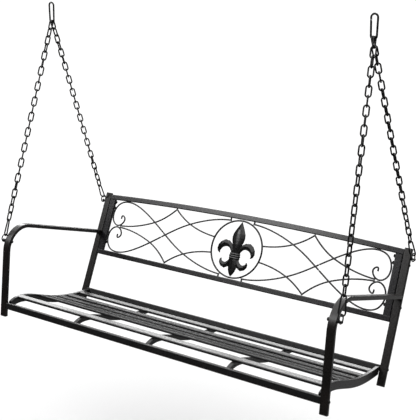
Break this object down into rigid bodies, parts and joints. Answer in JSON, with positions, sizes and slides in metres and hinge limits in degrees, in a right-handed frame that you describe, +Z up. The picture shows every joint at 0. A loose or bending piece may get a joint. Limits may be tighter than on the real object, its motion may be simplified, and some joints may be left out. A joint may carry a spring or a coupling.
{
  "type": "porch swing",
  "caption": "Two-seat steel porch swing: curved slatted seat, looped arms and an arched scrollwork back with a fleur-de-lis medallion, hung on chains with snap hooks.",
  "frame": {"origin": "midway between the two top snap hooks' bearing points, where they hang on the ceiling eyes; the hinge of the whole swing lies 66 mm below", "axes": "+Z up; +X along the seat to its right-hand end as the picture shows it (the viewer's right); +Y to the back of the seat, so a sitter faces -Y"},
  "size_m": [1.3044, 0.6052, 1.163],
  "materials": {
    "frame_coat": "satin",
    "seat_coat": "satin",
    "panel_coat": "satin",
    "cast_fleur": "satin",
    "chain_links": "satin",
    "hook_fittings": "satin",
    "fasteners": "satin",
    "plain_pins": "satin",
    "moulded_caps": "matte"
  },
  "bodies": {
    "hangers": {"top_left_snap_hook": "hook_fittings", "top_right_snap_hook": "hook_fittings", "top_hook_pins": "plain_pins"},
    "swing": {"left_arm_tube": "frame_coat", "left_back_post": "frame_coat", "panel_left_stile": "panel_coat", "seat_left_end_rail": "seat_coat", "left_upper_long_scroll": "panel_coat", "left_upper_branch_scroll": "panel_coat", "left_lower_long_scroll": "panel_coat", "left_lower_branch_scroll": "panel_coat", "front_left_chain": "chain_links", "front_left_snap_hook": "hook_fittings", "back_left_chain": "chain_links", "back_left_snap_hook": "hook_fittings", "right_arm_tube": "frame_coat", "right_back_post": "frame_coat", "panel_right_stile": "panel_coat", "seat_right_end_rail": "seat_coat", "right_upper_long_scroll": "panel_coat", "right_upper_branch_scroll": "panel_coat", "right_lower_long_scroll": "panel_coat", "right_lower_branch_scroll": "panel_coat", "front_right_chain": "chain_links", "front_right_snap_hook": "hook_fittings", "back_right_chain": "chain_links", "back_right_snap_hook": "hook_fittings", "foot_caps": "moulded_caps", "post_top_caps": "moulded_caps", "panel_top_rail": "panel_coat", "panel_bottom_rail": "panel_coat", "medallion_ring": "panel_coat", "medallion_pegs": "panel_coat", "fleur_de_lis": "cast_fleur", "seat_front_rail": "seat_coat", "seat_back_rail": "seat_coat", "seat_left_support": "seat_coat", "seat_middle_support": "seat_coat", "seat_right_support": "seat_coat", "seat_slat_1": "seat_coat", "seat_slat_2": "seat_coat", "seat_slat_3": "seat_coat", "seat_slat_4": "seat_coat", "seat_slat_5": "seat_coat", "seat_slat_6": "seat_coat", "chain_rings": "hook_fittings", "chain_hook_pins": "plain_pins", "frame_bolts": "fasteners", "armrest_bolts": "fasteners", "panel_nuts": "fasteners", "panel_spacers": "fasteners", "rail_inserts": "plain_pins", "chain_bolts": "hook_fittings", "chain_nuts": "hook_fittings"},
    "front_left_gate": {"front_left_hook_gate": "hook_fittings"},
    "back_left_gate": {"back_left_hook_gate": "hook_fittings"},
    "front_right_gate": {"front_right_hook_gate": "hook_fittings"},
    "back_right_gate": {"back_right_hook_gate": "hook_fittings"},
    "top_left_gate": {"top_left_hook_gate": "hook_fittings"},
    "top_right_gate": {"top_right_hook_gate": "hook_fittings"}
  },
  "joints": [
    {"name": "swing_hinge", "type": "hinge", "parent": "hangers", "child": "swing", "pos_m": [0, 0, -0.066], "axis": [1, 0, 0], "range_deg": [-20, 20]},
    {"name": "front_left_gate_hinge", "type": "hinge", "parent": "swing", "child": "front_left_gate", "pos_m": [-0.6452, -0.21594, -0.74652], "axis": [-0.3416, -0.8895, 0.3034], "range_deg": [0, 22], "stiffness_Nm_per_rad": 0.12, "springref_deg": -20.05},
    {"name": "back_left_gate_hinge", "type": "hinge", "parent": "swing", "child": "back_left_gate", "pos_m": [-0.64517, 0.27455, -0.72469], "axis": [0, -0.923, -0.3847], "range_deg": [0, 22], "stiffness_Nm_per_rad": 0.12, "springref_deg": -20.05},
    {"name": "front_right_gate_hinge", "type": "hinge", "parent": "swing", "child": "front_right_gate", "pos_m": [0.6452, -0.21594, -0.74652], "axis": [-0.3416, 0.8895, -0.3034], "range_deg": [0, 22], "stiffness_Nm_per_rad": 0.12, "springref_deg": -20.05},
    {"name": "back_right_gate_hinge", "type": "hinge", "parent": "swing", "child": "back_right_gate", "pos_m": [0.64517, 0.27455, -0.72469], "axis": [0, 0.923, 0.3847], "range_deg": [0, 22], "stiffness_Nm_per_rad": 0.12, "springref_deg": -20.05},
    {"name": "top_left_gate_hinge", "type": "hinge", "parent": "hangers", "child": "top_left_gate", "pos_m": [-0.59091, 0, -0.04922], "axis": [0, -1, 0], "range_deg": [0, 21], "stiffness_Nm_per_rad": 0.12, "springref_deg": -20.05},
    {"name": "top_right_gate_hinge", "type": "hinge", "parent": "hangers", "child": "top_right_gate", "pos_m": [0.59091, 0, -0.04922], "axis": [0, 1, 0], "range_deg": [0, 21], "stiffness_Nm_per_rad": 0.12, "springref_deg": -20.05}
  ]
}
